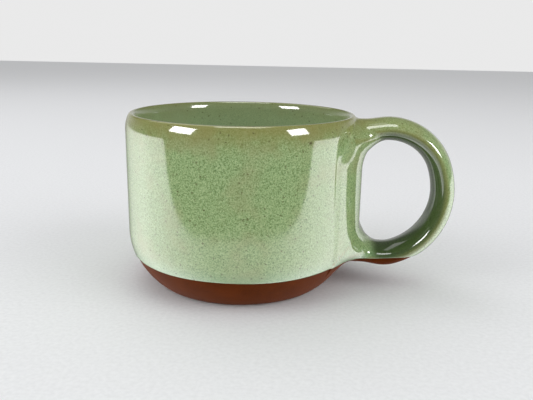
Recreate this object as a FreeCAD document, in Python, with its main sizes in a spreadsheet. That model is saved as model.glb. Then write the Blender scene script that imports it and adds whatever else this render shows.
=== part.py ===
"""Stoneware mug: a thrown cup on a turned foot, a D-shaped strap handle luted to its wall,
a glaze poured inside and a second coat that the cup was dipped into, upside down.

Frame: millimetres, +Z up. The origin is on the table, at the middle of the foot, and the
handle points along +X.
"""
import FreeCAD, Part
import math
import os
import Sketcher

DOC = FreeCAD.newDocument("mug")
SMALLEST_PIECE = 5.0  # cubic millimetres: a splinter of slip under this is left out
SHORTEST_EDGE = 0.5  # millimetres: an edge under this is a sliver, and gets no bevel or slip
TOUCHING = 0.01  # millimetres: an edge this near a face lies on it
JOINT_BULGE = 1.0  # millimetres: how far past the wall the edge of a joint may reach
XZ_PLACEMENT = FreeCAD.Placement(FreeCAD.Vector(0, 0, 0), FreeCAD.Rotation(FreeCAD.Vector(1, 0, 0), 90))

# name, millimetres, what it measures
SIZES = (
    ("wall_radius", 47.5, "glazed outside of the wall"),
    ("mug_height", 70.0, "table to the glazed crest of the rim"),
    ("wall_thickness", 4.5, "wall with the glaze on both its faces"),
    ("glaze", 0.5, "thickness of each coat of glaze"),
    ("floor_top", 6.0, "table to the glazed floor inside"),
    ("bevel_radius", 28.0, "round that leads from the wall down to the foot, in clay"),
    ("bevel_top", 22.5, "height at which that round meets the wall"),
    ("foot_ring", 7.7, "width of the ring that the mug stands on"),
    ("foot_recess", 1.2, "depth of the hollow inside the foot ring"),
    ("inner_corner", 20.0, "round between the floor and the wall inside, in clay"),
    ("dip_line", 12.6, "height of the lower edge of the outside glaze"),
    ("strap_half_width", 9.5, "handle's oval section, half its width, in clay"),
    ("strap_half_depth", 4.1, "handle's oval section, half its thickness, in clay"),
    ("strap_root", 40.0, "distance from the cup's axis to the hidden ends of the handle's line"),
    ("crown_radius", 22.0, "top arc of the handle's line"),
    ("crown_out", 60.0, "its centre from the cup's axis"),
    ("crown_up", 43.2, "its centre above the table"),
    ("grip_radius", 36.2, "outer arc of the handle's line, tangent to the other two"),
    ("heel_radius", 27.8, "bottom arc of the handle's line"),
    ("heel_out", 55.0, "its centre from the cup's axis"),
    ("heel_up", 39.2, "its centre above the table"),
    ("leg_face", 48.1, "flat leg of the handle that lies on the wall: its face from the cup's axis"),
    ("leg_half_width", 11.5, "the leg, half its width"),
    ("leg_edge", 1.6, "bevel along the leg's two long edges"),
    ("corner_radius", 8.0, "round in each corner of the finger hole, at the leg"),
    ("corner_half_width", 7.0, "the clay in those corners, half its width"),
    ("slip_reach", 3.5, "slip between the strap and the wall, measured along each of them"),
)


class Dim:
    """A length held both as a number and as the expression that works it out from the sheet."""

    def __init__(self, value, text):
        self.value = float(value)
        self.text = text

    def combine(self, other, sign, result):
        return Dim(result, "(%s %s %s)" % (self.text, sign, as_dim(other).text))

    def __add__(self, other):
        return self.combine(other, "+", self.value + as_dim(other).value)

    def __sub__(self, other):
        return self.combine(other, "-", self.value - as_dim(other).value)

    def __mul__(self, other):
        return self.combine(other, "*", self.value * as_dim(other).value)

    def __truediv__(self, other):
        return self.combine(other, "/", self.value / as_dim(other).value)

    def root(self):
        return Dim(math.sqrt(self.value), "sqrt(%s)" % self.text)


def as_dim(number):
    """A plain number as a Dim, so that it can stand in an expression."""
    return number if isinstance(number, Dim) else Dim(number, repr(float(number)))


def make_sheet():
    """Fill the sheet and return every size as a Dim, by name."""
    sheet = DOC.addObject("Spreadsheet::Sheet", "sizes")
    table = {}
    for row, (name, value, meaning) in enumerate(SIZES, start=1):
        sheet.set("A%d" % row, name)
        sheet.set("B%d" % row, str(value))
        sheet.set("C%d" % row, meaning)
        sheet.setAlias("B%d" % row, name)
        table[name] = Dim(value, "sizes.%s" % name)
    DOC.recompute()
    return table


def bind(thing, where, dim):
    """Drive one property of a thing from the sheet."""
    thing.setExpression(where, dim.text)


def fix_distance(sketch, kind, point, dim):
    """Hold one point of the sketch at a signed distance from the origin, bound to the sheet."""
    index = sketch.addConstraint(Sketcher.Constraint(kind, -1, 1, point[0], point[1], dim.value))
    sketch.setExpression("Constraints[%d]" % index, dim.text)


def closed_outline(sketch, corners, arcs):
    """Draw a closed outline through the corners, each (x, y) in Dims.

    arcs maps the number of a side to (radius, bulge): the side from that corner to the next is
    then an arc of that radius, which bulges to the right of its direction if bulge is +1, and
    to the left if it is -1.
    """
    points = [FreeCAD.Vector(x.value, y.value, 0) for x, y in corners]
    ends = []
    for number, start in enumerate(points):
        finish = points[(number + 1) % len(points)]
        if number not in arcs:
            sketch.addGeometry(Part.LineSegment(start, finish), False)
            ends.append((1, 2))
            continue
        radius, bulge = arcs[number]
        chord = finish - start
        side = FreeCAD.Vector(chord.y, -chord.x, 0).normalize() * bulge
        drop = radius.value - math.sqrt(max(radius.value ** 2 - chord.Length ** 2 / 4, 0))
        middle = (start + finish) * 0.5 + side * drop
        arc = Part.Arc(start, middle, finish).toShape().Curve
        first = math.atan2(start.y - arc.Center.y, start.x - arc.Center.x)
        last = math.atan2(finish.y - arc.Center.y, finish.x - arc.Center.x)
        circle = Part.Circle(arc.Center, FreeCAD.Vector(0, 0, 1), radius.value)
        if bulge > 0:
            sketch.addGeometry(Part.ArcOfCircle(circle, first, last), False)
            ends.append((1, 2))
        else:
            sketch.addGeometry(Part.ArcOfCircle(circle, last, first), False)
            ends.append((2, 1))
    for number in range(len(points)):
        after = (number + 1) % len(points)
        join = Sketcher.Constraint("Coincident", number, ends[number][1], after, ends[after][0])
        sketch.addConstraint(join)
    for number, (x, y) in enumerate(corners):
        corner = (number, ends[number][0])
        fix_distance(sketch, "DistanceX", corner, x)
        fix_distance(sketch, "DistanceY", corner, y)
    for number, (radius, bulge) in arcs.items():
        index = sketch.addConstraint(Sketcher.Constraint("Radius", number, radius.value))
        sketch.setExpression("Constraints[%d]" % index, radius.text)


def turned_body(name, corners, arcs):
    """A body turned about Z from half its section, given as (radius, height) corners."""
    body = DOC.addObject("PartDesign::Body", name)
    plane = [item for item in body.Origin.OriginFeatures if item.Role == "XZ_Plane"][0]
    sketch = body.newObject("Sketcher::SketchObject", name + "_section")
    sketch.AttachmentSupport = (plane, [""])
    sketch.MapMode = "FlatFace"
    closed_outline(sketch, corners, arcs)
    turn = body.newObject("PartDesign::Revolution", name + "_turned")
    turn.Profile = sketch
    turn.ReferenceAxis = (sketch, ["V_Axis"])
    turn.Angle = 360.0
    DOC.recompute()
    return body


def outside_form(name, size, coat):
    """The cup's outside as a filled solid: bare clay with a coat of 0, glazed with a coat of 1."""
    zero = as_dim(0)
    grown = size["glaze"] * coat
    clay_wall = size["wall_radius"] - size["glaze"]
    wall = clay_wall + grown
    bevel = size["bevel_radius"] + grown
    reach = (bevel * bevel - size["bevel_top"] * size["bevel_top"]).root()
    foot = clay_wall - size["bevel_radius"] + reach
    crest = size["wall_radius"] - size["wall_thickness"] / 2
    rim_round = size["wall_thickness"] / 2 - size["glaze"] + grown
    rim_centre = size["mug_height"] - size["wall_thickness"] / 2
    corners = (
        (zero, zero),
        (foot, zero),
        (wall, size["bevel_top"]),
        (wall, rim_centre),
        (crest, rim_centre + rim_round),
        (zero, rim_centre + rim_round),
    )
    return turned_body(name, corners, {1: (bevel, 1), 3: (rim_round, 1)})


def cup_body(size):
    """Thrown and turned clay: foot ring, round to the wall, rounded rim, hollow inside."""
    zero = as_dim(0)
    wall = size["wall_radius"] - size["glaze"]
    inside = size["wall_radius"] - size["wall_thickness"] + size["glaze"]
    bevel = size["bevel_radius"]
    foot = wall - bevel + (bevel * bevel - size["bevel_top"] * size["bevel_top"]).root()
    rim_round = size["wall_thickness"] / 2 - size["glaze"]
    crest = size["wall_radius"] - size["wall_thickness"] / 2
    rim_centre = size["mug_height"] - size["wall_thickness"] / 2
    bottom = size["floor_top"] - size["glaze"]
    corner = size["inner_corner"]
    recess = foot - size["foot_ring"]
    corners = (
        (zero, size["foot_recess"]),
        (recess - size["foot_recess"], size["foot_recess"]),
        (recess, zero),
        (foot, zero),
        (wall, size["bevel_top"]),
        (wall, rim_centre),
        (crest, rim_centre + rim_round),
        (inside, rim_centre),
        (inside, bottom + corner),
        (inside - corner, bottom),
        (zero, bottom),
    )
    arcs = {3: (bevel, 1), 5: (rim_round, 1), 6: (rim_round, 1), 8: (corner, -1)}
    return turned_body("cup_body", corners, arcs)


def liner_glaze(size):
    """The coat poured inside: floor, corner, wall and the inner half of the rim."""
    zero = as_dim(0)
    clay_inside = size["wall_radius"] - size["wall_thickness"] + size["glaze"]
    inside = clay_inside - size["glaze"]
    clay_round = size["wall_thickness"] / 2 - size["glaze"]
    glazed_round = size["wall_thickness"] / 2
    crest = size["wall_radius"] - glazed_round
    rim_centre = size["mug_height"] - glazed_round
    bottom = size["floor_top"] - size["glaze"]
    corner = size["inner_corner"]
    corners = (
        (zero, bottom),
        (clay_inside - corner, bottom),
        (clay_inside, bottom + corner),
        (clay_inside, rim_centre),
        (crest, rim_centre + clay_round),
        (crest, size["mug_height"]),
        (inside, rim_centre),
        (inside, bottom + corner),
        (clay_inside - corner, size["floor_top"]),
        (zero, size["floor_top"]),
    )
    arcs = {
        1: (corner, 1),
        3: (clay_round, -1),
        5: (glazed_round, 1),
        7: (corner - size["glaze"], -1),
    }
    return turned_body("liner_glaze", corners, arcs)


def handle_line(size):
    """The line that the handle follows: in from the wall, over three tangent arcs, and back."""
    line = DOC.addObject("Sketcher::SketchObject", "handle_line")
    line.Placement = XZ_PLACEMENT
    root = size["strap_root"].value
    crown = FreeCAD.Vector(size["crown_out"].value, size["crown_up"].value, 0)
    heel = FreeCAD.Vector(size["heel_out"].value, size["heel_up"].value, 0)
    radii = ("crown_radius", "grip_radius", "heel_radius")
    crown_r, grip_r, heel_r = (size[name].value for name in radii)
    grip = tangent_centre(crown, grip_r - crown_r, heel, grip_r - heel_r)
    up, down = FreeCAD.Vector(0, 1, 0), FreeCAD.Vector(0, -1, 0)
    to_crown = (crown - grip).normalize()
    to_heel = (heel - grip).normalize()
    top, bottom = crown + up * crown_r, heel + down * heel_r
    line.addGeometry(Part.LineSegment(FreeCAD.Vector(root, top.y, 0), top), False)
    for centre, radius, start, finish in (
            (crown, crown_r, to_crown, up),
            (grip, grip_r, to_heel, to_crown),
            (heel, heel_r, down, to_heel)):
        circle = Part.Circle(centre, FreeCAD.Vector(0, 0, 1), radius)
        span = Part.ArcOfCircle(circle, math.atan2(start.y, start.x), math.atan2(finish.y, finish.x))
        line.addGeometry(span, False)
    line.addGeometry(Part.LineSegment(bottom, FreeCAD.Vector(root, bottom.y, 0)), False)
    joins = ((0, 2, 1, 2), (1, 1, 2, 2), (2, 1, 3, 2), (3, 1, 4, 1))
    for join in joins:
        line.addConstraint(Sketcher.Constraint("Tangent", *join))
    line.addConstraint(Sketcher.Constraint("Horizontal", 0))
    line.addConstraint(Sketcher.Constraint("Horizontal", 4))
    fix_distance(line, "DistanceX", (0, 1), size["strap_root"])
    fix_distance(line, "DistanceX", (4, 2), size["strap_root"])
    for arc, name in ((1, "crown"), (3, "heel")):
        fix_distance(line, "DistanceX", (arc, 3), size[name + "_out"])
        fix_distance(line, "DistanceY", (arc, 3), size[name + "_up"])
    for arc, name in enumerate(radii, start=1):
        index = line.addConstraint(Sketcher.Constraint("Radius", arc, size[name].value))
        line.setExpression("Constraints[%d]" % index, size[name].text)
    DOC.recompute()
    return line


def tangent_centre(first, first_gap, second, second_gap):
    """The point at the two given distances from two centres, on the side nearer the cup."""
    span = second - first
    along = (first_gap ** 2 - second_gap ** 2 + span.Length ** 2) / (2 * span.Length)
    across = math.sqrt(max(first_gap ** 2 - along ** 2, 0))
    step = span.normalize()
    foot = first + step * along
    return foot + FreeCAD.Vector(step.y, -step.x, 0) * across


def strap(name, size, line, coat):
    """The handle's bent strap: an oval carried along the handle's line."""
    grown = size["glaze"] * coat
    oval = DOC.addObject("Part::Ellipse", name + "_oval")
    bind(oval, "MajorRadius", size["strap_half_width"] + grown)
    bind(oval, "MinorRadius", size["strap_half_depth"] + grown)
    y_axis, z_axis, x_axis = (FreeCAD.Vector(*axis) for axis in ((0, 1, 0), (0, 0, 1), (1, 0, 0)))
    turned = FreeCAD.Rotation(y_axis, z_axis, x_axis, "XYZ")
    oval.Placement = FreeCAD.Placement(FreeCAD.Vector(0, 0, 0), turned)
    bind(oval, "Placement.Base.x", size["strap_root"])
    bind(oval, "Placement.Base.z", size["crown_up"] + size["crown_radius"])
    DOC.recompute()
    sweep = DOC.addObject("Part::Sweep", name)
    sweep.Sections = [oval]
    sweep.Spine = (line, ["Edge%d" % (n + 1) for n in range(5)])
    sweep.Solid = True
    sweep.Frenet = True
    DOC.recompute()
    return sweep


def leg(name, size, coat):
    """The flat leg of the handle that lies on the wall, with its two long edges bevelled."""
    grown = size["glaze"] * coat
    top = size["crown_up"] + size["crown_radius"]
    bottom = size["heel_up"] - size["heel_radius"]
    slab = DOC.addObject("Part::Box", name + "_slab")
    bind(slab, "Length", size["leg_face"] + grown - size["strap_root"])
    bind(slab, "Width", (size["leg_half_width"] + grown) * 2)
    bind(slab, "Height", top - bottom)
    bind(slab, "Placement.Base.x", size["strap_root"])
    bind(slab, "Placement.Base.y", (size["leg_half_width"] + grown) * -1)
    bind(slab, "Placement.Base.z", bottom)
    DOC.recompute()
    face = size["leg_face"].value + grown.value
    bevel = DOC.addObject("Part::Chamfer", name)
    bevel.Base = slab
    edge = size["leg_edge"].value
    bevel.Edges = [(n, edge, edge) for n, item in enumerate(slab.Shape.Edges, start=1)
                   if item.BoundBox.ZLength > SHORTEST_EDGE and item.BoundBox.XMin > face - TOUCHING]
    DOC.recompute()
    return bevel


def hole_corner(name, size, coat, upper):
    """Clay in one corner of the finger hole: a wedge with a hollow quarter round."""
    grown = size["glaze"] * coat
    face = size["leg_face"] + grown
    radius = size["corner_radius"] - grown
    overlap = size["strap_half_depth"] / 2
    up = 1 if upper else -1
    middle = size["crown_up"] + size["crown_radius"] if upper else size["heel_up"] - size["heel_radius"]
    inner = middle - (size["strap_half_depth"] + grown) * up
    corners = [
        (face - overlap, inner - radius * up),
        (face, inner - radius * up),
        (face + radius, inner),
        (face + radius, inner + overlap * up),
        (face - overlap, inner + overlap * up),
    ]
    arcs = {1: (radius, -1 if upper else 1)}
    sketch = DOC.addObject("Sketcher::SketchObject", name + "_outline")
    sketch.Placement = XZ_PLACEMENT
    closed_outline(sketch, corners, arcs)
    DOC.recompute()
    wedge = DOC.addObject("Part::Extrusion", name)
    wedge.Base = sketch
    wedge.DirMode = "Normal"
    wedge.Solid = True
    wedge.Symmetric = True
    bind(wedge, "LengthFwd", (size["corner_half_width"] + grown) * 2)
    DOC.recompute()
    return wedge


def fuse(name, shapes):
    """Several solids as one."""
    joined = DOC.addObject("Part::MultiFuse", name)
    joined.Shapes = shapes
    joined.Refine = True
    DOC.recompute()
    return joined


def cut(name, base, tool):
    """What is left of the base outside the tool."""
    result = DOC.addObject("Part::Cut", name)
    result.Base = base
    result.Tool = tool
    DOC.recompute()
    return result


def common(name, base, tool):
    """What the base and the tool share."""
    result = DOC.addObject("Part::Common", name)
    result.Base = base
    result.Tool = tool
    DOC.recompute()
    return result


def slipped(name, size, form, bar, coat):
    """The cup's outside with the strap on it, and a sloping band all round where they meet.

    Under a coat of glaze the two faces of the corner come nearer to each other, so the band
    gets shorter, by 2 - sqrt(2) of the coat's thickness.
    """
    joined = fuse(name + "_sharp", [form, bar])
    reach = size["slip_reach"].value - size["glaze"].value * coat * (2 - math.sqrt(2))
    near = size["wall_radius"].value + JOINT_BULGE
    width = size["strap_half_width"].value + 2 * size["slip_reach"].value
    band = DOC.addObject("Part::Chamfer", name)
    band.Base = joined
    band.Edges = [(n, reach, reach) for n, item in enumerate(joined.Shape.Edges, start=1)
                  if meets_wall(item.BoundBox, size["strap_root"].value, near, width)]
    DOC.recompute()
    return band


def meets_wall(box, inner, outer, width):
    """Whether an edge with this box is one that the strap and the cup's wall share."""
    at_wall = inner < box.XMin and box.XMax < outer
    at_strap = -width < box.YMin and box.YMax < width
    return at_wall and at_strap and box.YLength > SHORTEST_EDGE


def joint_slips(size, slipped_form, clay_form, blank):
    """The slip that lutes the handle on: a band round each end of the strap, below the rim.

    The strap's top end runs into the rim, so the band there is in two halves, one on each side.
    """
    below_rim = DOC.addObject("Part::Cylinder", "below_rim")
    bind(below_rim, "Radius", size["wall_radius"] * 2)
    bind(below_rim, "Height", size["mug_height"] - size["wall_thickness"] / 2)
    bands = cut("slip_bands", cut("slip_and_strap", slipped_form, clay_form), blank)
    bands = common("slip_below_rim", bands, below_rim)
    whole = [solid for solid in bands.Shape.Solids if solid.Volume > SMALLEST_PIECE]
    middle = (size["crown_up"].value + size["heel_up"].value) / 2
    nodes = []
    for name, upper in (("lower_slip", False), ("upper_slip", True)):
        node = DOC.addObject("Part::Feature", name)
        chosen = [solid for solid in whole if (solid.CenterOfMass.z > middle) == upper]
        node.Shape = chosen[0] if len(chosen) == 1 else Part.makeCompound(chosen)
        node.Placement = FreeCAD.Placement()
        nodes.append(node)
    return nodes


def dip_glaze(size, glazed, clay):
    """The outside coat, from the crest of the rim down to the dip line, over wall and handle."""
    zone = DOC.addObject("Part::Cylinder", "dipped_zone")
    bind(zone, "Radius", size["wall_radius"] * 2)
    bind(zone, "Height", size["mug_height"])
    bind(zone, "Placement.Base.z", size["dip_line"])
    bore = DOC.addObject("Part::Cylinder", "inside_of_crest")
    bind(bore, "Radius", size["wall_radius"] - size["wall_thickness"] / 2)
    bind(bore, "Height", size["mug_height"] * 2)
    outside = cut("outside_coat", cut("coat", glazed, clay), bore)
    return common("dip_glaze", outside, zone)


def mug_outside(prefix, size, line, coat):
    """The cup's outside and the pieces of the handle, bare with a coat of 0, glazed with 1.

    Returns the cup's form, the handle's pieces, the form with strap and slip, and all as one.
    """
    form = outside_form(prefix + "_form", size, coat)
    bar = strap(prefix + "_strap", size, line, coat)
    rest = [leg(prefix + "_leg", size, coat)]
    for end, upper in (("top", True), ("foot", False)):
        rest.append(hole_corner("%s_corner_%s" % (prefix, end), size, coat, upper))
    slipped_form = slipped(prefix + "_slipped", size, form, bar, coat)
    return form, [bar] + rest, slipped_form, fuse(prefix + "_skin", [slipped_form] + rest)


def handle_and_glaze(size):
    """The handle, its two bands of slip, and the coat over them and over the cup's wall."""
    line = handle_line(size)
    form, pieces, slipped_form, clay_skin = mug_outside("clay", size, line, 0)
    glazed_skin = mug_outside("glazed", size, line, 1)[-1]
    blank = fuse("handle_blank", pieces)
    handle = cut("handle", blank, form)
    slips = joint_slips(size, slipped_form, form, blank)
    return [handle] + slips + [dip_glaze(size, glazed_skin, clay_skin)]


def check_document(nodes):
    """Stop if any step failed, or a node isn't a sound solid."""
    for item in DOC.Objects:
        if "Invalid" in item.State or "Error" in item.State:
            raise RuntimeError("%s failed: %s" % (item.Name, item.State))
    for node in nodes:
        shape = node.Shape
        if shape.isNull() or not shape.isValid() or not shape.Solids or shape.Volume <= 0:
            raise RuntimeError("%s isn't a valid solid" % node.Label)
        print("%-12s %9.1f mm3" % (node.Label, shape.Volume))


def main():
    """Build every node and write it as STEP."""
    size = make_sheet()
    nodes = [cup_body(size), liner_glaze(size)] + handle_and_glaze(size)
    DOC.recompute()
    check_document(nodes)
    os.makedirs("parts", exist_ok=True)
    for node in nodes:
        node.Shape.exportStep("parts/%s.step" % node.Label)


main()
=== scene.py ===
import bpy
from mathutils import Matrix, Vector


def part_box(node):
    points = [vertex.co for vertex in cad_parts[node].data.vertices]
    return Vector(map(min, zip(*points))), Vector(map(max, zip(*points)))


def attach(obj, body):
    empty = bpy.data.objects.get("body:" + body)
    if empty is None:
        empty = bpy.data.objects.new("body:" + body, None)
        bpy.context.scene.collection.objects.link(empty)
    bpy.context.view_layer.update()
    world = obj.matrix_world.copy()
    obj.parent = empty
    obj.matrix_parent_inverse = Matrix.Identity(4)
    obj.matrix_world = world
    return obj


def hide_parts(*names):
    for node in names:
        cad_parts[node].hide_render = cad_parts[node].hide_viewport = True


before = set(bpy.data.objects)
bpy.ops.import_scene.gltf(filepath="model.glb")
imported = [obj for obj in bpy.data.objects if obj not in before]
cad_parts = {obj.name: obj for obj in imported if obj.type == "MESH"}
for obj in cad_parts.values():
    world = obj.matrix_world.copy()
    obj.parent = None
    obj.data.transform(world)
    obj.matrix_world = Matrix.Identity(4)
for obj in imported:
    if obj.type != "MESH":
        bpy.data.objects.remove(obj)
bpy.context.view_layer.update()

import functools
import math
import bmesh
import bpy
import numpy as np
from mathutils import Matrix, Vector

# ---------------------------------------------------------------------------------------------
# The clay cup. Iron-bearing stoneware, thrown on a wheel and turned upside down on its foot:
# a thin straight wall, a generous round down to the foot, and a shallow hollow inside the foot
# ring. Only the lower half of the round and the foot stay bare, warm brown with turning lines.

MM = 0.001
wall_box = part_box("cup_body")
WALL = -wall_box[0][0] / MM  # outside of the clay wall
CREST_UP = wall_box[1][2] / MM  # top of the clay rim
SHOULDER = 13.0  # radius of the wall's turn in towards the rim
SHOULDER_TURN = math.radians(25)  # how far the wall turns in there
RIM_ROUND = 0.9  # radius of the rim's crest
SHOULDER_UP = CREST_UP - RIM_ROUND - (SHOULDER - RIM_ROUND) * math.sin(SHOULDER_TURN)
CREST = WALL - SHOULDER + (SHOULDER - RIM_ROUND) * math.cos(SHOULDER_TURN)
BEVEL = 28.0  # radius of the round down to the foot
BEVEL_TOP = 22.5  # height at which that round starts
INSIDE = WALL - 3.5  # radius of the inner wall
LIP = 6.5  # radius of the inner wall's turn out towards the rim
LIP_TURN = math.acos((LIP - CREST + INSIDE) / (LIP - RIM_ROUND))
FLOOR = 5.5  # height of the floor inside
CORNER = 20.0  # radius of the round between floor and inner wall
FOOT_RING = 7.7  # width of the foot ring
FOOT_EDGE = 0.12  # height of the soft outer edge of the ring
RECESS = 1.2  # depth of the hollow inside the ring

COLUMNS = 256  # round the cup; column 0 faces the handle
WINDOW_COLUMNS = 44  # columns and rows of each window, the part of the cup's grid that a root
WINDOW_ROWS = 32     # of the handle covers
FOOT_ROWS = 3
FOOT_END = 1.6  # where the lower window starts, along the outside from the foot's edge
SPLIT_UP = 37.0  # height at which the lower window ends and the upper one starts
RIM_ROWS = 14  # of the upper window's rows, those on the shoulder and the rim

# Distances along the outside, from the edge of the foot to the end of each part.
BEVEL_LENGTH = BEVEL * math.asin(BEVEL_TOP / BEVEL)
WALL_LENGTH = BEVEL_LENGTH + SHOULDER_UP - BEVEL_TOP
SHOULDER_LENGTH = SHOULDER * SHOULDER_TURN
CREST_LENGTH = WALL_LENGTH + SHOULDER_LENGTH + RIM_ROUND * (math.pi / 2 - SHOULDER_TURN)


def cup_profile(along):
    """Radius and height of the clay outside, by distance along it from the edge of the foot:
    an arc of radius BEVEL, a straight wall, an arc of radius SHOULDER through SHOULDER_TURN,
    and one of radius RIM_ROUND up to the crest."""
    low = np.clip((along - BEVEL_LENGTH) / BEVEL, -2.0, 0.0)
    straight = np.clip(along, BEVEL_LENGTH, WALL_LENGTH) - BEVEL_LENGTH
    first = np.clip((along - WALL_LENGTH) / SHOULDER, 0.0, SHOULDER_TURN)
    rest = np.clip((along - WALL_LENGTH - SHOULDER_LENGTH) / RIM_ROUND, 0.0, 2.0)
    last = np.minimum(first + rest, math.pi / 2)
    radius = (WALL - BEVEL * (1 - np.cos(low)) - SHOULDER * (1 - np.cos(first))
              - RIM_ROUND * (np.cos(first) - np.cos(last)))
    height = (BEVEL_TOP + BEVEL * np.sin(low) + straight + SHOULDER * np.sin(first)
              + RIM_ROUND * (np.sin(last) - np.sin(first)))
    return radius, height


def profile_distance(height):
    """The distance along the clay outside at which it reaches a height."""
    along = np.linspace(0, CREST_LENGTH, 4001)
    return np.interp(height, cup_profile(along)[1], along)


def outside_rows():
    """Distances along the outside for the rows of the cup: a few at the foot, one window of
    rows up to the middle of the wall, and one up to the crest, closer together at the rim."""
    middle, shoulder_end = profile_distance(SPLIT_UP), WALL_LENGTH + SHOULDER_LENGTH
    half_rim = RIM_ROWS // 2
    return np.concatenate([
        np.linspace(0, FOOT_END, FOOT_ROWS, endpoint=False),
        np.linspace(FOOT_END, middle, WINDOW_ROWS, endpoint=False),
        np.linspace(middle, WALL_LENGTH, WINDOW_ROWS - RIM_ROWS, endpoint=False),
        np.linspace(WALL_LENGTH, shoulder_end, half_rim, endpoint=False),
        np.linspace(shoulder_end, CREST_LENGTH, RIM_ROWS - half_rim + 1)])


def turn(radius, height):
    """A profile carried round the axis: one row of points for each (radius, height) pair."""
    angle = np.arange(COLUMNS) * 2 * math.pi / COLUMNS
    x = np.outer(radius, np.cos(angle))
    y = np.outer(radius, np.sin(angle))
    return np.stack([x, y, np.repeat(height, COLUMNS).reshape(x.shape)], axis=-1)


def grid_faces(index):
    """Quads between neighbouring rows of vertex numbers, each row a ring."""
    after = np.roll(index, -1, axis=1)
    return np.stack([index[:-1], after[:-1], after[1:], index[1:]], axis=-1)


def closed_tube(rings, first, last):
    """Points and faces of a tube through the rings, closed by a fan to a point at each end."""
    count = rings.shape[0] * rings.shape[1]
    index = np.arange(count).reshape(rings.shape[:2])
    start, end = index[0], index[-1]
    near = np.stack([np.full_like(start, count), np.roll(start, -1), start], axis=-1)
    far = np.stack([np.full_like(end, count + 1), end, np.roll(end, -1)], axis=-1)
    points = np.concatenate([rings.reshape(-1, 3), [first, last]])
    return points, grid_faces(index).reshape(-1, 4).tolist() + near.tolist() + far.tolist()


def lathe(radius, height):
    """Points and faces of a turned solid whose profile starts and ends on the axis."""
    ends = [[0, 0, height[0]], [0, 0, height[-1]]]
    return closed_tube(turn(radius[1:-1], height[1:-1]), *ends)


def make_piece(name, points, faces):
    """A smooth mesh object from points in millimetres."""
    mesh = bpy.data.meshes.new(name)
    mesh.from_pydata((points * MM).tolist(), [], faces)
    mesh.shade_smooth()
    piece = bpy.data.objects.new(name, mesh)
    bpy.context.scene.collection.objects.link(piece)
    return piece


ROWS = outside_rows()
row_radius, row_height = cup_profile(ROWS)


def inside_profile(off):
    """Radius and height of the inside, from the middle of the floor to the crest, at a distance
    off the clay: a flat floor, an arc of radius CORNER less off, a straight wall, and arcs of
    radius LIP and RIM_ROUND plus off."""
    low, high = np.linspace(0, math.pi / 2, 18), np.linspace(LIP_TURN, math.pi / 2, 8)
    lip = np.linspace(0, LIP_TURN, 7)[:-1]
    middle = INSIDE - CORNER
    round_up = CREST_UP - RIM_ROUND
    lip_up = round_up - (LIP - RIM_ROUND) * math.sin(LIP_TURN)
    radius = np.concatenate([
        [0, middle * 0.5], middle + (CORNER - off) * np.sin(low), np.full(12, INSIDE - off),
        INSIDE + LIP - (LIP + off) * np.cos(lip), CREST - (RIM_ROUND + off) * np.cos(high)])
    height = np.concatenate([
        [FLOOR + off] * 2, FLOOR + CORNER - (CORNER - off) * np.cos(low),
        np.linspace(FLOOR + CORNER, lip_up, 14)[1:-1],
        lip_up + (LIP + off) * np.sin(lip), round_up + (RIM_ROUND + off) * np.sin(high)])
    return radius, height


def clay_cup():
    """The turned solid: hollow of the foot, foot ring, outside, rim, inside wall and floor."""
    foot = row_radius[0]
    hollow = foot - FOOT_RING
    under_r = [0, hollow * 0.5, hollow - 2.4, hollow - 1.2, hollow, hollow + 0.5, foot - 0.6]
    under_z = [RECESS, RECESS, RECESS, RECESS * 0.8, 0.15, 0, 0]
    inner_r, inner_z = inside_profile(0)
    radius = np.concatenate([under_r, row_radius, inner_r[-2::-1]])
    height = np.concatenate([under_z, row_height, inner_z[-2::-1]])
    height[len(under_r)] = FOOT_EDGE
    return make_piece("clay_cup", *lathe(radius, height))


def linear(colour):
    """An sRGB hex colour as the linear RGBA that a shader takes."""
    parts = [int(colour[i:i + 2], 16) / 255 for i in (1, 3, 5)]
    return [c / 12.92 if c <= 0.04045 else ((c + 0.055) / 1.055) ** 2.4 for c in parts] + [1.0]


def add_node(tree, kind, inputs=None, output=0, stops=(), **settings):
    """Add a shader node, set it up and return one of its outputs. Each input, by name or
    number, is a value, an sRGB hex colour or another node's output, and stops are a ramp's
    (place, colour) pairs."""
    made = tree.nodes.new("ShaderNode" + kind)
    for name, value in settings.items():
        setattr(made, name, value)
    for name, value in (inputs or {}).items():
        if isinstance(value, bpy.types.NodeSocket):
            tree.links.new(value, made.inputs[name])
        else:
            made.inputs[name].default_value = linear(value) if isinstance(value, str) else value
    for number, (place, colour) in enumerate(stops):
        ramp = made.color_ramp.elements
        stop = ramp[number] if number < 2 else ramp.new(place)
        stop.position, stop.color = place, linear(colour)
    return made.outputs[output]


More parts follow.
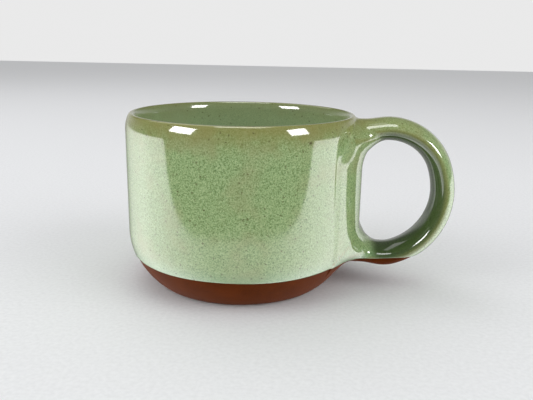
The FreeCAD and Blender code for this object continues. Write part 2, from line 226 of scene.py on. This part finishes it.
def bare_stoneware():
    """Fired stoneware, turned and sponged: matt and warm brown, darker where the iron gathered,
    with the fine level lines of the turning tool and a grain of sand, and painted shade over the
    lowest 3 mm of the foot."""
    material = bpy.data.materials.new("bare_stoneware")
    material.use_nodes = True
    add = functools.partial(add_node, material.node_tree)
    place = add("TexCoord", output="Object")
    up = add("SeparateXYZ", {0: place}, "Z")
    lines = add("CombineXYZ", {"Z": up})
    turning = add("TexNoise", {
        "Vector": lines, "Scale": 1 / (0.9 * MM), "Detail": 3.0, "Roughness": 0.6})
    clouds = add("TexNoise", {"Vector": place, "Scale": 1 / (9 * MM), "Detail": 3.0})
    grain = add("TexNoise", {"Vector": place, "Scale": 1 / (0.35 * MM), "Roughness": 0.7})
    body = add("ValToRGB", {0: clouds}, stops=[(0.3, "#4E2004"), (0.7, "#622B08")])
    sandy = add("MapRange", {0: grain, 1: 0.35, 2: 0.75, 4: 0.35})
    body = add("Mix", {0: sandy, 6: body, 7: "#7A3F16"}, 2, data_type="RGBA")
    lined = add("MapRange", {0: turning, 1: 0.3, 2: 0.7, 4: 0.25})
    body = add("Mix", {0: lined, 6: body, 7: "#46220C"}, 2, data_type="RGBA")
    # Painted shade: the clay is darkened over its lowest 3 mm, next to the floor.
    edge = add("MapRange", {0: up, 1: 0.0, 2: 3 * MM, 3: 0.45, 4: 0.0})
    body = add("Mix", {0: edge, 6: body, 7: "#42200C"}, 2, data_type="RGBA")
    dull = add("MapRange", {0: grain, 1: 0.2, 2: 0.8, 3: 0.46, 4: 0.62})
    relief = add("Math", {0: turning, 1: 0.7, 2: grain}, operation="MULTIPLY_ADD")
    bump = add("Bump", {"Strength": 0.5, "Distance": 0.1 * MM, "Height": relief})
    shader = material.node_tree.nodes["Principled BSDF"]
    shader.inputs["Specular IOR Level"].default_value = 0.03
    for name, value in (("Base Color", body), ("Roughness", dull), ("Normal", bump)):
        material.node_tree.links.new(value, shader.inputs[name])
    return material


CLAY = bare_stoneware()
cup = clay_cup()
cup.data.materials.append(CLAY)
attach(cup, "root")
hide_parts("cup_body")

# ---------------------------------------------------------------------------------------------
# The clay handle. A thick oval strap bent to a D, with a flat leg that lies down the wall, both
# luted on with slip while leather hard and sponged to a soft flare, so no line of a join shows.
# Its underside, below the line that the mug was dipped to, stays bare.

STRAP_WIDE = 9.5  # half the strap's width
STRAP_DEEP = 4.1  # half its thickness
LEG_FACE = 48.1  # how far the leg's flat face is from the cup's axis
LEG_HALF = 13.0  # half the width of that face, before its edges are rounded
LEG_SLOPE = math.radians(50)  # how far each flank faces out from straight sideways
LEG_EDGE = 2.5  # radius of the edges between face and flanks
LEG_ENDS = (11.0, 70.0)  # heights of the leg's ends
LEG_BACK = 36.0  # distance from the axis at which the leg stops, hidden in the cup
LEG_END_ROUND = 12.0
LEG_FILLET = 6.0  # radius, about, of the hollow between a flank and the wall
FLARE = 12.0  # radius of the hollow between the strap and the wall or leg
FLARE_RIM = 1.2  # the same at the rim
FLARE_UNDER = 3.0  # the same under the strap's foot
ARCH = 1.6  # how far the strap's foot rises just before it meets the wall
CROWN = (60.0, 43.2, 22.0)  # centre out, centre up and radius of the strap's top arc
GRIP = (46.6, 38.5, 36.2)  # the same of the arc in the middle
HEEL = (55.0, 39.2, 27.8)  # the same of the bottom arc
SADDLE = 1.1  # how far the strap's top drops just before it meets the rim
LID_DEPTH = 1.2  # how far behind the wall's face the clay of each root is closed
HAIR = 0.2  # height off the wall under which a flare counts as the wall's own clay
PATCH = 24  # rows of each flare, from the strap to the edge of its window


def flared_union(first, second, radius):
    """Two distances joined with a concave round of that radius where both are under it."""
    both = np.hypot(np.maximum(radius - first, 0), np.maximum(radius - second, 0))
    return np.maximum(radius, np.minimum(first, second)) - both


def smooth_step(value, low, high):
    """0 at low and 1 at high, with level ends: three parts squared less two parts cubed."""
    part = np.clip((value - low) / (high - low), 0, 1)
    return part * part * (3 - 2 * part)


def cup_field(x, y, z):
    """Distance from the clay outside of the cup: from a straight wall, or from the centre of
    the bevel, the shoulder or the rim's round, less its radius."""
    r = np.hypot(x, y)
    low = np.hypot(r - (WALL - BEVEL), np.minimum(z - BEVEL_TOP, 0)) - BEVEL
    out, up = r - (WALL - SHOULDER), np.maximum(z - SHOULDER_UP, 0)
    shoulder = np.hypot(out, up) - SHOULDER
    rim = np.hypot(r - CREST, z - (CREST_UP - RIM_ROUND)) - RIM_ROUND
    high = np.where(np.arctan2(up, out) < SHOULDER_TURN, shoulder, rim)
    return np.where(z < BEVEL_TOP, low, high)


def leg_field(x, y, z):
    """Distance from the leg: a flat face between two sloping flanks, with rounded edges."""
    out = x - LEG_FACE
    flank = out * math.sin(LEG_SLOPE) + (np.abs(y) - LEG_HALF) * math.cos(LEG_SLOPE)
    end = np.maximum(np.maximum(LEG_ENDS[0] - z, z - LEG_ENDS[1]), LEG_BACK - x)
    return -flared_union(flared_union(-out, -flank, LEG_EDGE), -end, LEG_END_ROUND)


def arc_distance(x, z, arc, first, last):
    """Distance in the plane y = 0 from an arc (centre out, centre up, radius) between two
    angles in radians, first > last."""
    angle = np.clip(np.arctan2(z - arc[1], x - arc[0]), last, first)
    return np.hypot(x - arc[0] - arc[2] * np.cos(angle), z - arc[1] - arc[2] * np.sin(angle))


# The angles at which the top arc runs into the middle one, and that into the bottom one.
TO_GRIP = math.atan2(CROWN[1] - GRIP[1], CROWN[0] - GRIP[0])
TO_HEEL = math.atan2(HEEL[1] - GRIP[1], HEEL[0] - GRIP[0])
STRAP_TOP = CROWN[1] + CROWN[2]
STRAP_FOOT = HEEL[1] - HEEL[2]


def saddle(x, z):
    """How far the strap's line is let down at this place near the rim, or, below the middle of
    the handle, let up."""
    let_down = SADDLE * smooth_step(x, 60.0, 50.0) * smooth_step(z, 45.0, 58.0)
    return let_down - ARCH * smooth_step(x, 64.0, 51.0) * smooth_step(z, 32.0, 20.0)


def strap_field(x, y, z):
    """Distance from the strap: an oval about the nearest point of its line."""
    z = z + saddle(x, z)
    line = np.hypot(np.maximum(x - CROWN[0], 0) + np.maximum(CREST - x, 0), z - STRAP_TOP)
    line = np.minimum(line, arc_distance(x, z, CROWN, math.pi / 2, TO_GRIP))
    line = np.minimum(line, arc_distance(x, z, GRIP, TO_GRIP, TO_HEEL))
    line = np.minimum(line, arc_distance(x, z, HEEL, TO_HEEL, -math.pi / 2))
    beyond = np.maximum(x - HEEL[0], 0) + np.maximum(38 - x, 0)
    line = np.minimum(line, np.hypot(beyond, z - STRAP_FOOT))
    scaled = np.hypot(line / STRAP_DEEP, y / STRAP_WIDE)
    slope = np.hypot(line / STRAP_DEEP ** 2, y / STRAP_WIDE ** 2)
    return scaled * (scaled - 1) / np.maximum(slope, 1e-6)


def mug_field(points):
    """Distance from the clay outside of cup, leg and strap, joined with concave rounds that
    get tighter towards the foot and the rim."""
    x, y, z = points[..., 0], points[..., 1], points[..., 2]
    blend = 0.2 + LEG_FILLET * smooth_step(z, 0.0, 8.0) * smooth_step(z, 65.0, 52.0)
    wall = flared_union(cup_field(x, y, z), leg_field(x, y, z), blend)
    hollow = (FLARE - (FLARE - FLARE_RIM) * smooth_step(z, 61.0, 69.0)
              - (FLARE - FLARE_UNDER) * smooth_step(z, 16.0, 9.0))
    return flared_union(wall, strap_field(x, y, z), hollow)


def slope_of(points, step=0.04):
    """Gradient of mug_field by central differences."""
    parts = []
    for axis in np.eye(3) * step:
        parts.append((mug_field(points + axis) - mug_field(points - axis)) / (2 * step))
    return np.stack(parts, axis=-1)


def settle(points, times=12):
    """Move points along the gradient until they lie on the clay surface."""
    for _ in range(times):
        slope = slope_of(points)
        size = np.maximum((slope ** 2).sum(-1), 0.05)
        step = mug_field(points) / size
        points = points - slope * np.clip(step, -1.5, 1.5)[..., None]
    return points


HALF = WINDOW_COLUMNS // 2
SPOKES = 2 * (WINDOW_COLUMNS + WINDOW_ROWS)  # points round a window, and round the strap


def window_edge(lower):
    """Rows and columns of the cup's grid round one window, from the middle of the side that
    faces the finger hole towards +Y and once round."""
    first = FOOT_ROWS if lower else FOOT_ROWS + WINDOW_ROWS
    hole, far = (first + WINDOW_ROWS, first) if lower else (first, first + WINDOW_ROWS)
    side = np.linspace(hole, far, WINDOW_ROWS + 1).astype(int)
    rows = [np.full(HALF, hole), side[:-1], np.full(WINDOW_COLUMNS, far), side[::-1][:-1],
            np.full(HALF, hole)]
    columns = [np.arange(HALF), np.full(WINDOW_ROWS, HALF), np.arange(HALF, -HALF, -1),
               np.full(WINDOW_ROWS, -HALF), np.arange(-HALF, 0)]
    return np.concatenate(rows), np.concatenate(columns) % COLUMNS


def oval():
    """Points of the strap's section, evenly spaced along it from the side that faces the hole:
    distance from the line towards the hole, and distance along Y."""
    fine = np.linspace(0, 2 * math.pi, 4001)
    towards, across = STRAP_DEEP * np.cos(fine), STRAP_WIDE * np.sin(fine)
    length = np.concatenate([[0], np.cumsum(np.hypot(np.diff(towards), np.diff(across)))])
    turn_to = np.interp(np.arange(SPOKES) * length[-1] / SPOKES, length, fine)
    return STRAP_DEEP * np.cos(turn_to), STRAP_WIDE * np.sin(turn_to)


def on_cup(arc, along):
    """The point of the clay outside at a distance along the profile and an arc length round."""
    radius, height = cup_profile(along)
    angle = arc / WALL
    return np.stack([radius * np.cos(angle), radius * np.sin(angle), height], axis=-1)


def flare(lower):
    """One flare as PATCH + 1 rows of points, from the strap out to the edge of its window.

    Each spoke runs along the wall from the strap's oval to the window's edge. Its height above
    the wall follows a quarter circle first, and is nothing from there on."""
    towards, across = oval()
    middle = STRAP_FOOT + ARCH if lower else STRAP_TOP - SADDLE
    height = middle + towards * (1 if lower else -1)
    start = np.stack([WALL * np.arcsin(across / WALL), profile_distance(height)], axis=-1)
    rows, columns = window_edge(lower)
    signed = (columns + COLUMNS // 2) % COLUMNS - COLUMNS // 2
    finish = np.stack([signed * 2 * math.pi / COLUMNS * WALL, ROWS[rows]], axis=-1)
    reach = np.linalg.norm(finish - start, axis=-1)
    round_r = np.minimum(reach * 0.6, 8.0)
    whole = round_r * math.pi / 2 + reach - round_r
    gone = np.linspace(0, 1, PATCH + 1)[:, None] * whole
    bend = np.minimum(gone / round_r, math.pi / 2)
    out = round_r * (1 - np.cos(bend)) + np.maximum(gone - round_r * math.pi / 2, 0)
    lift = round_r * (1 - np.sin(bend))
    chart = start + (finish - start) * (out / reach)[..., None]
    points = on_cup(chart[..., 0], chart[..., 1])
    points[..., 0] += lift
    return points


def strap_rows(upper_root, lower_root):
    """Rows of points along the strap between its two flares: straight in from each root, and
    round the three arcs between."""
    towards, across = oval()
    rows = []
    for part in np.linspace(0, 1, 12)[1:-1]:
        x = upper_root[:, 0] + (CROWN[0] - upper_root[:, 0]) * part
        rows.append(np.stack([x, across, STRAP_TOP - saddle(x, STRAP_TOP) - towards], axis=-1))
    for arc, first, last, count in ((CROWN, math.pi / 2, TO_GRIP, 22),
                                    (GRIP, TO_GRIP, TO_HEEL, 8),
                                    (HEEL, TO_HEEL, -math.pi / 2, 36)):
        for angle in np.linspace(first, last, count, endpoint=False):
            radius = arc[2] - towards
            x, z = arc[0] + radius * math.cos(angle), arc[1] + radius * math.sin(angle)
            rows.append(np.stack([x, across, z], axis=-1))
    for part in np.linspace(0, 1, 6)[:-1]:
        x = HEEL[0] + (lower_root[:, 0] - HEEL[0]) * part
        z = STRAP_FOOT - saddle(x, STRAP_FOOT) + towards
        rows.append(np.stack([x, across, z], axis=-1))
    return np.stack(rows)


upper_flare, lower_flare = flare(False), flare(True)
handle_rows = settle(np.concatenate([
    upper_flare[::-1], strap_rows(upper_flare[0], lower_flare[0]), lower_flare]))


def lid(ring):
    """Rows that close a ring of points behind the wall, from its middle out to the ring: angle
    about the cup's axis, distance from it and height all grow in step with the row's number."""
    angle, radius = np.arctan2(ring[:, 1], ring[:, 0]), np.hypot(ring[:, 0], ring[:, 1])
    middle = (ring[:, 2].min() + ring[:, 2].max()) / 2
    part = np.linspace(0, 1, 16)[:, None]
    angle, height = angle * part, middle + (ring[:, 2] - middle) * part
    radius = WALL - LID_DEPTH + (radius - WALL + LID_DEPTH) * part
    return np.stack([radius * np.cos(angle), radius * np.sin(angle), height], axis=-1)


def clay_handle():
    """The strap and its two flares, closed behind the wall. Where a flare lies within HAIR of
    the wall it is sunk just below it, so the cup's own clay shows there."""
    slope = slope_of(handle_rows)
    proud = cup_field(*np.moveaxis(handle_rows, -1, 0))
    sunk = 0.05 * (1 - smooth_step(proud, 0.0, HAIR))
    rows = handle_rows - slope * sunk[..., None]
    upper, lower = lid(rows[0] - slope[0] * LID_DEPTH), lid(rows[-1] - slope[-1] * LID_DEPTH)
    rows = np.concatenate([upper[1:], rows, lower[:0:-1]])
    return make_piece("clay_handle", *closed_tube(rows, upper[0][0], lower[0][0]))


handle = clay_handle()
handle.data.materials.append(CLAY)
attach(handle, "root")
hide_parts("handle", "upper_slip", "lower_slip")

# ---------------------------------------------------------------------------------------------
# The outer glaze. The mug was held by its foot and dipped, handle and all, to a line half way up
# the round above the foot. The coat is half a millimetre of green iron glaze that ends in a soft
# round edge and breaks to olive brown where it ran thin. Inside the handle it is painted deep
# green as shade.

COAT = 0.5  # thickness
DIP_LINE = 12.6  # height of its lower edge, before the line's waves
DIP_EDGE = 0.8  # height over which the coat comes up to its full thickness
SUNK = 0.1  # how far the coat's hidden back lies inside the clay
HOLE_MIDDLE = (60.0, 0.0, 40.0)  # middle of the finger hole
CREST_HAIR = 0.02  # depth below the crest within which the two coats share their normals


def outside_sheet():
    """The clay outside of cup and handle as one sheet: the cup's grid less its two windows, and
    the handle's rows sewn to the windows' edges."""
    grid = turn(row_radius, row_height)
    for lower in (False, True):
        grid[window_edge(lower)] = settle(grid[window_edge(lower)])
    index = np.arange(grid.shape[0] * COLUMNS).reshape(-1, COLUMNS)
    faces = grid_faces(index)
    column = (np.arange(COLUMNS) + HALF) % COLUMNS
    keep = np.ones(faces.shape[:2], bool)
    keep[FOOT_ROWS:, column < WINDOW_COLUMNS] = False
    body = handle_rows[1:-1]
    count = index.size + np.arange(body.shape[0] * SPOKES).reshape(-1, SPOKES)
    rings = np.concatenate([[index[window_edge(False)]], count, [index[window_edge(True)]]])
    points = np.concatenate([grid.reshape(-1, 3), body.reshape(-1, 3)])
    return points, np.concatenate([faces[keep], grid_faces(rings).reshape(-1, 4)])


def cut_level(points, faces):
    """The sheet cut at the dip line, with a few more cuts just above it for the round edge."""
    sheet = bmesh.new()
    made = [sheet.verts.new(point) for point in points]
    for face in faces:
        sheet.faces.new([made[number] for number in face])
    for part in (1.0, 0.7, 0.45, 0.25, 0.1, 0.02, 0.0):
        parts = sheet.verts[:] + sheet.edges[:] + sheet.faces[:]
        level = (0, 0, DIP_LINE + DIP_EDGE * part)
        bmesh.ops.bisect_plane(sheet, geom=parts, dist=1e-4, plane_co=level, plane_no=(0, 0, 1),
                               clear_inner=part == 0)
    loose = [vert for vert in sheet.verts if not vert.link_faces]
    bmesh.ops.delete(sheet, geom=loose, context="VERTS")
    sheet.verts.index_update()
    edges = [[loop.vert.index, loop.link_loop_next.vert.index]
             for edge in sheet.edges if edge.is_boundary for loop in edge.link_loops]
    points = np.array([vert.co for vert in sheet.verts])
    faces = [[vert.index for vert in face.verts] for face in sheet.faces]
    sheet.free()
    return points, faces, edges


def dip_wander(points):
    """How far the dip line lies above DIP_LINE: a few slow waves round the cup, and a little
    more along the handle."""
    angle = np.arctan2(points[:, 1], points[:, 0])
    waves = 0.12 * np.sin(3 * angle + 0.7) + 0.07 * np.sin(7 * angle)
    return waves + 1.7 * smooth_step(points[:, 0], 54.0, 76.0)


def dipped_coat():
    """The coat as a closed shell. Its face stands off the clay by COAT, less near the dip line,
    where the thickness follows a quarter circle, and its back is sunk in the clay.

    It carries two attributes for the glaze. bend is the sum of the clay's two curvatures in 1/mm,
    more than 0 where it bulges. hole is, on the handle, the cosine of the angle between the way the clay
    faces and the way to the middle of the finger hole, and falls to -1 on the cup. The glaze uses
    hole to paint shade inside the handle."""
    points, faces = outside_sheet()
    points[:, 2] -= dip_wander(points)
    points, faces, edges = cut_level(points, faces)
    risen = np.clip((points[:, 2] - DIP_LINE) / DIP_EDGE, 0, 1)
    points[:, 2] += dip_wander(points)
    thick = COAT * np.sqrt(1 - (1 - risen) ** 2)
    slope = slope_of(points)
    slope /= np.linalg.norm(slope, axis=-1, keepdims=True)
    face, back = points + slope * thick[:, None], points - slope * SUNK
    count = len(points)
    rear = [[number + count for number in reversed(corners)] for corners in faces]
    strips = [[b, a, a + count, b + count] for a, b in edges]
    coat = make_piece("outer_glaze", np.concatenate([face, back]), faces + rear + strips)
    bend = sum(slope_of(points + axis)[:, number] - slope_of(points - axis)[:, number]
               for number, axis in enumerate(np.eye(3) * 0.25)) / 0.5
    to_hole = np.array(HOLE_MIDDLE) - points * (1, 0, 1)
    to_hole /= np.linalg.norm(to_hole, axis=-1, keepdims=True)
    faces_hole = (slope * to_hole).sum(axis=-1) * smooth_step(points[:, 0], 50.0, 60.0)
    faces_hole -= smooth_step(points[:, 0], 60.0, 50.0)
    for name, values in (("bend", bend), ("hole", faces_hole)):
        made = coat.data.attributes.new(name, "FLOAT", "POINT")
        made.data.foreach_set("value", np.concatenate([values, values]).astype(np.float32))
    # The face alone gives the normals, so no crease shows at the dip line. Along the crest they
    # point straight up, as the liner's do.
    sheet = make_piece("sheet", face, faces)
    normals = np.empty(count * 3, np.float32)
    sheet.data.vertex_normals.foreach_get("vector", normals)
    normals = normals.reshape(-1, 3)
    normals[points[:, 2] > CREST_UP - CREST_HAIR] = (0, 0, 1)
    bpy.data.objects.remove(sheet)
    coat.data.normals_split_custom_set_from_vertices(np.concatenate([normals, -normals]).tolist())
    return coat


def iron_green_glaze():
    """Glossy stoneware glaze, fired green by a little iron: milky and finely mottled, with tan
    clouds and dark specks, mintier at the dip line, paler inside the cup (thicker glaze, and
    painted light as well), painted shade in deep green inside the handle, and olive brown at the
    rim and on sharp curves."""
    material = bpy.data.materials.new("iron_green_glaze")
    material.use_nodes = True
    add = functools.partial(add_node, material.node_tree)
    place = add("TexCoord", output="Object")
    up = add("SeparateXYZ", {0: place}, "Z")
    bend = add("Attribute", output="Fac", attribute_name="bend")
    hole = add("Attribute", output="Fac", attribute_name="hole")
    fine = add("TexNoise", {
        "Vector": place, "Scale": 1 / (0.55 * MM), "Detail": 2.0, "Roughness": 0.8})
    clouds = add("TexNoise", {"Vector": place, "Scale": 1 / (16 * MM), "Detail": 3.0})
    drift = add("TexNoise", {"Vector": place, "Scale": 1 / (4 * MM), "Detail": 2.0})
    green = add("ValToRGB", {0: fine}, stops=[
        (0.3, "#5A7442"), (0.7, "#B4C796"), (0.5, "#92AC75")])
    soft = {"interpolation_type": "SMOOTHSTEP"}
    tan = add("MapRange", {0: clouds, 1: 0.45, 2: 0.7, 4: 0.4}, **soft)
    green = add("Mix", {0: tan, 6: green, 7: "#A09C72"}, 2, data_type="RGBA")
    minty = add("MapRange", {0: up, 1: 19 * MM, 2: 13 * MM, 4: 0.5}, **soft)
    green = add("Mix", {0: minty, 6: green, 7: "#88AE82"}, 2, data_type="RGBA")
    level = add("Math", {0: drift, 1: 5 * MM, 2: up}, operation="MULTIPLY_ADD")
    rim = add("MapRange", {0: level, 1: 61 * MM, 2: 73 * MM, 4: 0.75}, **soft)
    sharp = add("MapRange", {0: bend, 1: 0.1, 2: 0.7, 4: 0.7}, **soft)
    flat = add("VectorMath", {0: place, 1: (1.0, 1.0, 0.0)}, operation="MULTIPLY")
    from_axis = add("VectorMath", {0: flat}, "Value", operation="LENGTH")
    inward = add("MapRange", {0: from_axis, 1: 43 * MM, 2: 45 * MM, 3: 0.5, 4: 1.0})
    outward = add("MapRange", {0: from_axis, 1: 50 * MM, 2: 60 * MM, 3: 1.0, 4: 0.55})
    rim = add("Math", {0: rim, 1: inward}, operation="MULTIPLY")
    rim = add("Math", {0: rim, 1: outward}, operation="MULTIPLY")
    thin = add("Math", {0: rim, 1: sharp}, operation="MAXIMUM")
    # Paler inside the cup: partly the thicker glaze's own colour, partly painted light that brightens
    # the inside.
    inside = add("MapRange", {0: from_axis, 1: 44.5 * MM, 2: 43.3 * MM, 4: 0.5})
    green = add("Mix", {0: inside, 6: green, 7: "#C6DAAE"}, 2, data_type="RGBA")
    glaze = add("Mix", {0: thin, 6: green, 7: "#857E40"}, 2, data_type="RGBA")
    # Painted shade: deep green laid on the handle's glaze where it faces the finger hole, none on the
    # cup.
    painted_handle_shade = add("MapRange", {0: hole, 1: -0.6, 2: 0.8, 4: 0.9}, **soft)
    glaze = add("Mix", {0: painted_handle_shade, 6: glaze, 7: "#34461C"}, 2, data_type="RGBA")
    for size, dot, share, shade in ((2.2, 1.0, 0.5, "#54502C"), (16.0, 1.7, 0.5, "#3A2814")):
        cells = add("TexVoronoi", {"Vector": place, "Scale": 1 / (size * MM)}, "Distance")
        pick = add("TexVoronoi", {"Vector": place, "Scale": 1 / (size * MM)}, "Color")
        chosen = add("Math", {0: pick, 1: share}, operation="GREATER_THAN")
        ragged = add("Math", {0: fine, 1: dot / size, 2: cells}, operation="MULTIPLY_ADD")
        spot = add("MapRange", {0: ragged, 1: dot / size, 2: dot / size * 0.6, 4: 0.8})
        spot = add("Math", {0: spot, 1: chosen}, operation="MULTIPLY")
        glaze = add("Mix", {0: spot, 6: glaze, 7: shade}, 2, data_type="RGBA")
    gloss = add("MapRange", {0: fine, 1: 0.3, 2: 0.7, 3: 0.05, 4: 0.09})
    relief = add("Math", {0: drift, 1: 3.0, 2: fine}, operation="MULTIPLY_ADD")
    bump = add("Bump", {"Strength": 0.2, "Distance": 0.015 * MM, "Height": relief})
    shader = material.node_tree.nodes["Principled BSDF"]
    shader.inputs["IOR"].default_value = 1.75
    for name, value in (("Base Color", glaze), ("Roughness", gloss), ("Normal", bump)):
        material.node_tree.links.new(value, shader.inputs[name])
    return material


GLAZE = iron_green_glaze()
coat = dipped_coat()
coat.data.materials.append(GLAZE)
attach(coat, "root")
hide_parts("dip_glaze")

# ---------------------------------------------------------------------------------------------
# The liner glaze. Poured in and out before the dipping, it covers the inside from the floor to
# the crest of the rim, where it runs into the outer coat.


def liner():
    """A turned shell: its back just inside the clay from the middle of the floor up to the
    crest, then its face, COAT off the clay, back down."""
    back_r, back_z = inside_profile(-SUNK)
    face_r, face_z = inside_profile(COAT)
    radius = np.concatenate([back_r, face_r[::-1]])
    height = np.concatenate([back_z, face_z[::-1]])
    points, faces = lathe(radius, height)
    piece = make_piece("inner_glaze", points, faces)
    normals = np.empty(len(points) * 3, np.float32)
    piece.data.vertex_normals.foreach_get("vector", normals)
    normals = normals.reshape(-1, 3)
    normals[points[:, 2] > CREST_UP + COAT - CREST_HAIR] = (0, 0, 1)
    piece.data.normals_split_custom_set_from_vertices(normals.tolist())
    return piece


inner = liner()
inner.data.materials.append(GLAZE)
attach(inner, "root")
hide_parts("liner_glaze")

# ---------------------------------------------------------------------------------------------
# The studio: a sheet of pale paper, two windows that show only in the gloss, soft panels at both
# sides, a weak key light from behind, a light overhead for the gloss, and a world that stands
# for the cloth and the dim room that the glaze mirrors.


def paper():
    """A flat sheet, 4 m by 3.5 m. The world stands in for it in the glaze's mirror."""
    x = np.array([-2000.0, 2000.0, 2000.0, -2000.0])
    y = np.array([-1000.0, -1000.0, 2500.0, 2500.0])
    floor = make_piece("floor", np.stack([x, y, np.zeros(4)], axis=-1), [[0, 1, 2, 3]])
    floor.visible_glossy = False
    material = bpy.data.materials.new("matt_white_paper")
    material.use_nodes = True
    add = functools.partial(add_node, material.node_tree)
    place = add("TexCoord", output="Object")
    tooth = add("TexNoise", {"Vector": place, "Scale": 1 / (1.5 * MM), "Detail": 3.0})
    white = add("ValToRGB", {0: tooth}, stops=[(0.3, "#E3E4E6"), (0.7, "#EBECEE")])
    shader = material.node_tree.nodes["Principled BSDF"]
    material.node_tree.links.new(white, shader.inputs["Base Color"])
    shader.inputs["Roughness"].default_value = 0.9
    shader.inputs["Specular IOR Level"].default_value = 0.2
    floor.data.materials.append(material)
    return floor


def panel_light(name, azimuth, elevation, width, height, glow):
    """A soft rectangular light, 1.2 m away, that faces the mug. azimuth is measured from -Y
    towards +X, and glow is its brightness, where white paper in full light has about 1."""
    distance, power = 1.2, glow * math.pi * width * height
    light = bpy.data.lights.new(name, "AREA")
    light.shape, light.size, light.size_y, light.energy = "RECTANGLE", width, height, power
    made = bpy.data.objects.new(name, light)
    flat = math.cos(math.radians(elevation)) * distance
    place = Vector((flat * math.sin(math.radians(azimuth)), -flat * math.cos(math.radians(azimuth)),
                    math.sin(math.radians(elevation)) * distance))
    made.location = place + Vector((0, 0, 40 * MM))
    made.rotation_euler = (-place).to_track_quat("-Z", "Y").to_euler()
    bpy.context.scene.collection.objects.link(made)
    return made


def studio_world():
    """Pale where the camera sees it, and even soft light. In the mug's mirror it is what such a
    mug sees on a pale cloth by two windows: below the horizon the cloth, fair in front, bright
    to both sides and dark behind, and otherwise a dim room, a little lighter behind. The cloth
    ends in front along a curve of azimuth (from 5 degrees right of -Y) and depression:
    (azimuth / 75 deg)^4 + (depression / 18.5 deg)^4 = 1."""
    world = bpy.data.worlds.new("studio")
    bpy.context.scene.world = world
    world.use_nodes = True
    add = functools.partial(add_node, world.node_tree)
    toward = add("TexCoord", output="Generated")
    x = add("SeparateXYZ", {0: toward}, "X")
    y = add("SeparateXYZ", {0: toward}, "Y")
    z = add("SeparateXYZ", {0: toward}, "Z")
    ahead = add("Math", {0: y, 1: -1.0}, operation="MULTIPLY")
    azimuth = add("Math", {0: x, 1: ahead}, operation="ARCTAN2")
    turned = add("Math", {0: azimuth, 1: math.radians(5)}, operation="SUBTRACT")
    aside = add("Math", {0: turned}, operation="ABSOLUTE")
    across = add("Math", {0: aside, 1: math.radians(75)}, operation="DIVIDE")
    down = add("Math", {0: z, 1: -math.sin(math.radians(18.5))}, operation="DIVIDE")
    down = add("Math", {0: down, 1: 0.0}, operation="MAXIMUM")
    across = add("Math", {0: across, 1: 4.0}, operation="POWER")
    down = add("Math", {0: down, 1: 4.0}, operation="POWER")
    reach = add("Math", {0: across, 1: down}, operation="ADD")
    cloth = add("MapRange", {0: reach, 1: 0.96, 2: 1.04})
    glow = add("MapRange", {0: aside, 1: math.radians(25), 2: math.radians(80), 3: 1.2, 4: 3.3})
    far = add("MapRange", {
        0: aside, 1: math.radians(105), 2: math.radians(150), 3: 1.0, 4: 0.12})
    glow = add("Math", {0: glow, 1: far}, operation="MULTIPLY")
    below = add("MapRange", {0: z, 1: -0.02, 2: -0.07})
    cloth = add("Math", {0: cloth, 1: below}, operation="MULTIPLY")
    behind = add("MapRange", {0: aside, 1: math.radians(100), 2: math.radians(140), 4: 0.5})
    near_level = add("MapRange", {0: z, 1: 0.35, 2: 0.15})
    room = add("Math", {0: behind, 1: near_level}, operation="MULTIPLY")
    room = add("Math", {0: room, 1: 0.12}, operation="ADD")
    mirrored = add("Mix", {0: cloth, 2: room, 3: glow}, data_type="FLOAT")
    glossy = add("LightPath", output="Is Glossy Ray")
    seen = add("LightPath", output="Is Camera Ray")
    light = add("Mix", {0: glossy, 2: 0.62, 3: mirrored}, data_type="FLOAT")
    light = add("Mix", {0: seen, 2: light, 3: 0.82}, data_type="FLOAT")
    world.node_tree.links.new(light, world.node_tree.nodes["Background"].inputs["Strength"])
    world.node_tree.nodes["Background"].inputs["Color"].default_value = (1, 1, 1, 1)


def studio_camera():
    """The camera's place, turn, tilt and roll, and its lens."""
    place = Vector((38.9, -245.4, 97.2)) * MM
    heading, pitch, roll = math.radians(-6.6), math.radians(14.59), math.radians(0.975)
    look = Vector((math.sin(heading) * math.cos(pitch), math.cos(heading) * math.cos(pitch),
                   -math.sin(pitch)))
    right = look.cross(Vector((0, 0, 1))).normalized()
    over = right.cross(look)
    tilted = right * math.cos(roll) + over * math.sin(roll)
    over = over * math.cos(roll) - right * math.sin(roll)
    camera = bpy.data.objects.new("camera", bpy.data.cameras.new("camera"))
    camera.data.lens, camera.data.sensor_width, camera.data.clip_start = 40.5, 36.0, 0.01
    camera.matrix_world = Matrix((tilted, over, -look)).transposed().to_4x4()
    camera.location = place
    bpy.context.scene.collection.objects.link(camera)
    bpy.context.scene.camera = camera


paper()
for name, azimuth, wide in (("window_left", -52, 0.48), ("window_right", 65, 0.38)):
    panel_light(name, azimuth, 26, wide, 0.36, 16.0).visible_diffuse = False
panel_light("overhead", 0, 88, 0.6, 0.6, 5.0).visible_diffuse = False
panel_light("key", -140, 55, 0.8, 0.8, 1.0)
for name, azimuth in (("soft_left", -62), ("soft_right", 70)):
    panel_light(name, azimuth, 30, 0.8, 0.8, 2.4).visible_glossy = False
studio_world()
studio_camera()
bpy.context.scene.view_settings.view_transform = "Standard"
